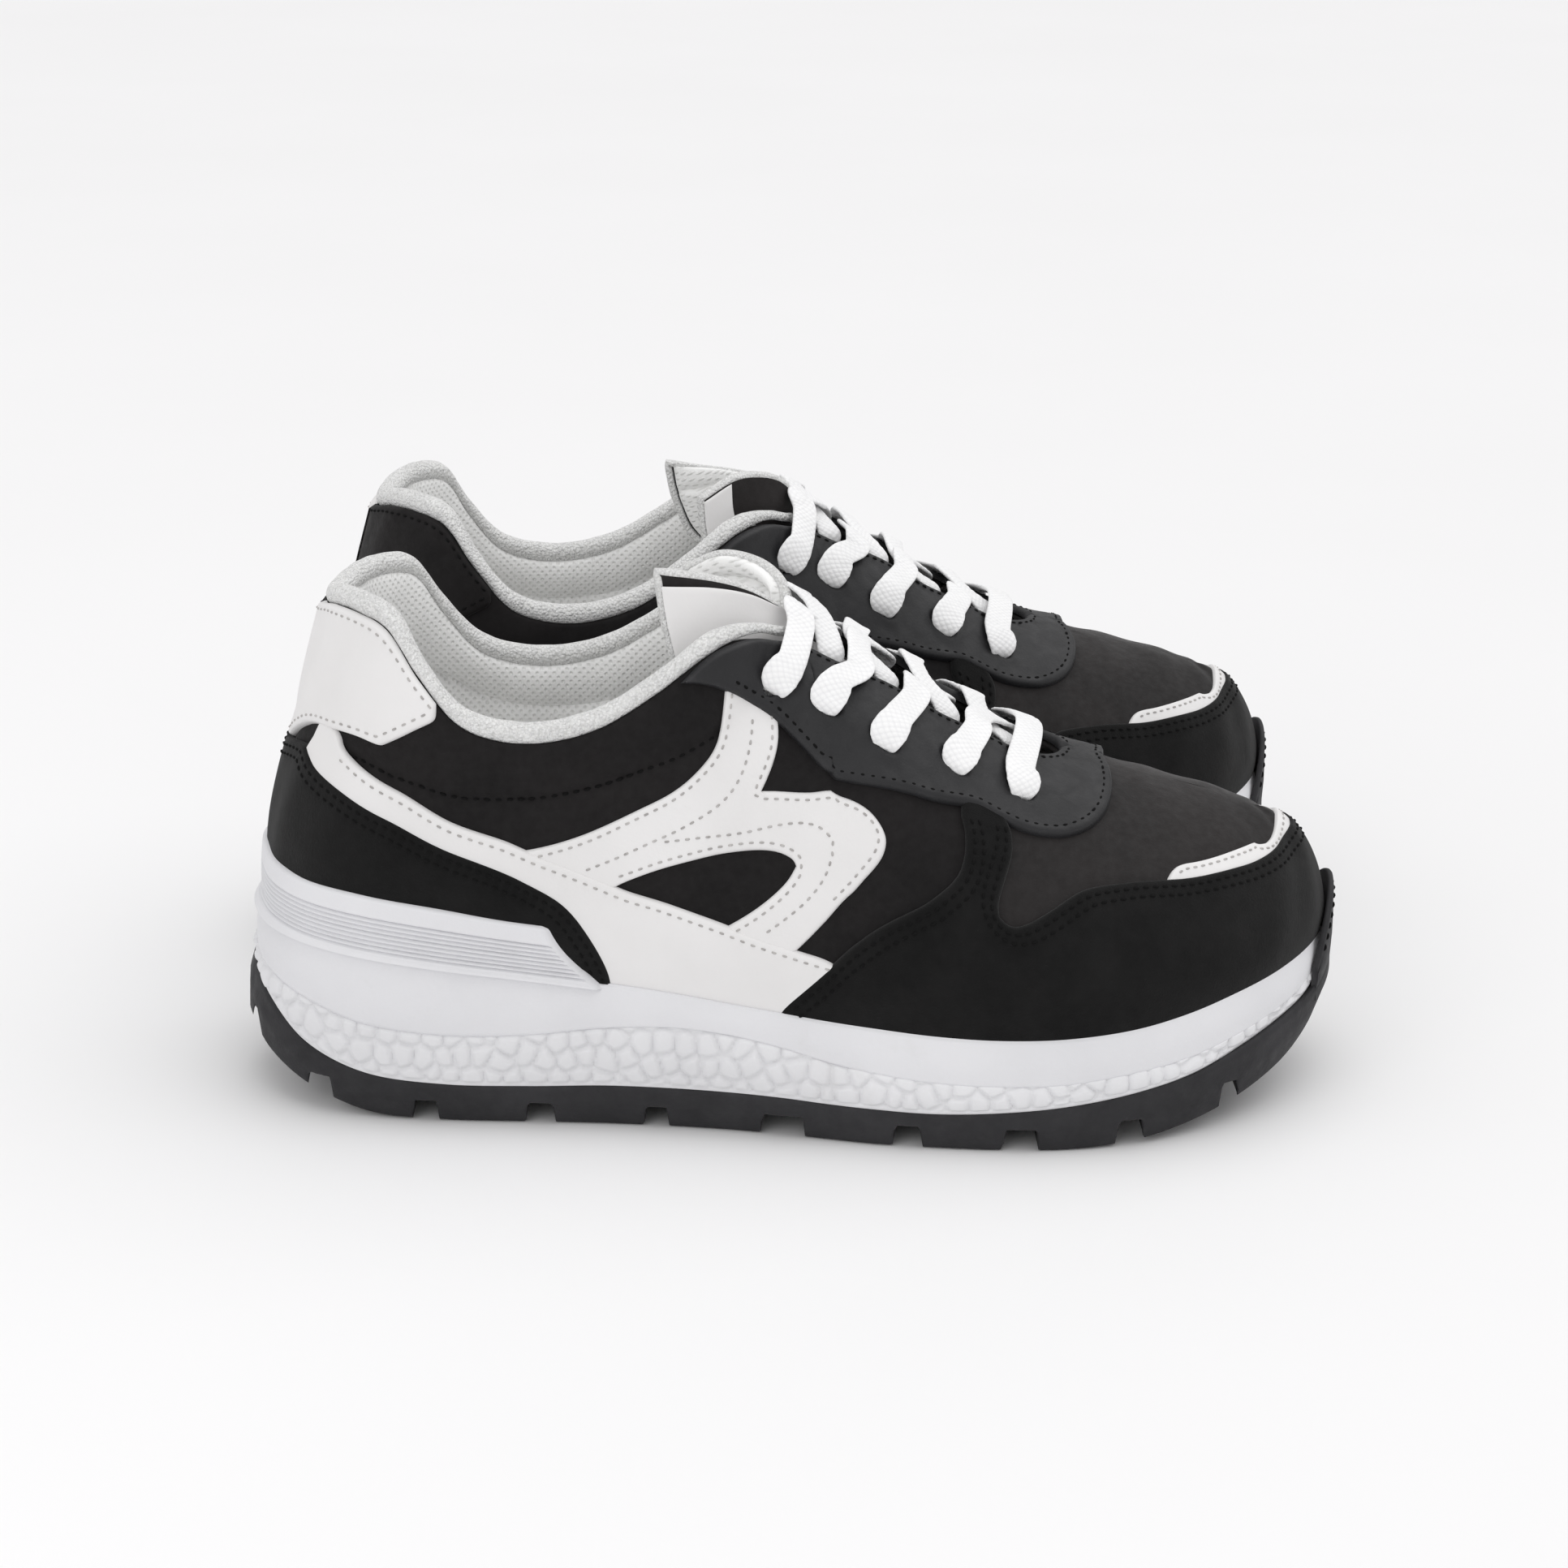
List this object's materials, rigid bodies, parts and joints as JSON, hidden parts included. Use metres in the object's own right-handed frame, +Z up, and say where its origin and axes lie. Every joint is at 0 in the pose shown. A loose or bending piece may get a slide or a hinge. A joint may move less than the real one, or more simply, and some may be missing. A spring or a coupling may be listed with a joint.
{
  "type": "cheer shoes",
  "caption": "Low-top lace-up trainers in black and white: lugged rubber outsole, foam wedge midsole, overlaid upper, padded collar and tongue, flat laces.",
  "frame": {"origin": "on the floor under the middle of the pair's bounding box", "axes": "+X toward the toes, +Y from the right shoe to the left shoe, +Z up"},
  "size_m": [0.2816, 0.2302, 0.1336],
  "materials": {
    "rubber_dark": "moulded matt rubber",
    "foam_white": "moulded closed-cell foam, satin",
    "board": "fibre board",
    "mesh_white": "knitted mesh over foam",
    "softshell_black": "bonded softshell, soft sheen",
    "suede_black": "matt suede",
    "leather_white": "smooth coated",
    "leather_black": "smooth coated",
    "terry_white": "looped terry edge",
    "lace_white": "flat woven"
  },
  "bodies": {
    "right_shoe": {"right_outsole": "rubber_dark", "right_midsole_pebbled": "foam_white", "right_midsole_smooth": "foam_white", "right_heel_stabiliser": "foam_white", "right_insole_board": "board", "right_sock_liner": "mesh_white", "right_quarter_lateral": "softshell_black", "right_quarter_medial": "softshell_black", "right_vamp": "softshell_black", "right_toe_overlay": "suede_black", "right_toe_stripe": "leather_white", "right_eyestay": "leather_black", "right_saddle_strap_lateral": "leather_white", "right_saddle_strap_medial": "leather_white", "right_side_overlay_lateral": "leather_white", "right_side_overlay_medial": "leather_white", "right_heel_counter_overlay": "suede_black", "right_heel_tab_lateral": "leather_white", "right_heel_tab_medial": "leather_black", "right_collar_lining": "mesh_white", "right_vamp_lining": "mesh_white", "right_collar_roll": "terry_white", "right_lace": "lace_white"},
    "right_tongue": {"right_tongue_shell": "softshell_black", "right_tongue_padding": "mesh_white", "right_tongue_wing": "leather_white"},
    "left_shoe": {"left_outsole": "rubber_dark", "left_midsole_pebbled": "foam_white", "left_midsole_smooth": "foam_white", "left_heel_stabiliser": "foam_white", "left_insole_board": "board", "left_sock_liner": "mesh_white", "left_quarter_lateral": "softshell_black", "left_quarter_medial": "softshell_black", "left_vamp": "softshell_black", "left_toe_overlay": "suede_black", "left_toe_stripe": "leather_white", "left_eyestay": "leather_black", "left_saddle_strap_lateral": "leather_white", "left_saddle_strap_medial": "leather_white", "left_side_overlay_lateral": "leather_white", "left_side_overlay_medial": "leather_white", "left_heel_counter_overlay": "suede_black", "left_heel_tab_lateral": "leather_white", "left_heel_tab_medial": "leather_black", "left_collar_lining": "mesh_white", "left_vamp_lining": "mesh_white", "left_collar_roll": "terry_white", "left_lace": "lace_white"},
    "left_tongue": {"left_tongue_shell": "softshell_black", "left_tongue_padding": "mesh_white", "left_tongue_wing": "leather_white"}
  },
  "joints": [
    {"name": "left_shoe_lift", "type": "slide", "parent": "right_shoe", "child": "left_shoe", "axis": [0, 0, 1], "range_m": [0, 0.12]},
    {"name": "right_tongue_flex", "type": "hinge", "parent": "right_shoe", "child": "right_tongue", "pos_m": [0.0584, -0.05762, 0.077], "axis": [-0.0574, -0.9984, 0], "range_deg": [0, 8]},
    {"name": "left_tongue_flex", "type": "hinge", "parent": "left_shoe", "child": "left_tongue", "pos_m": [0.0664, 0.05762, 0.077], "axis": [0.0574, -0.9984, 0], "range_deg": [0, 8]}
  ]
}
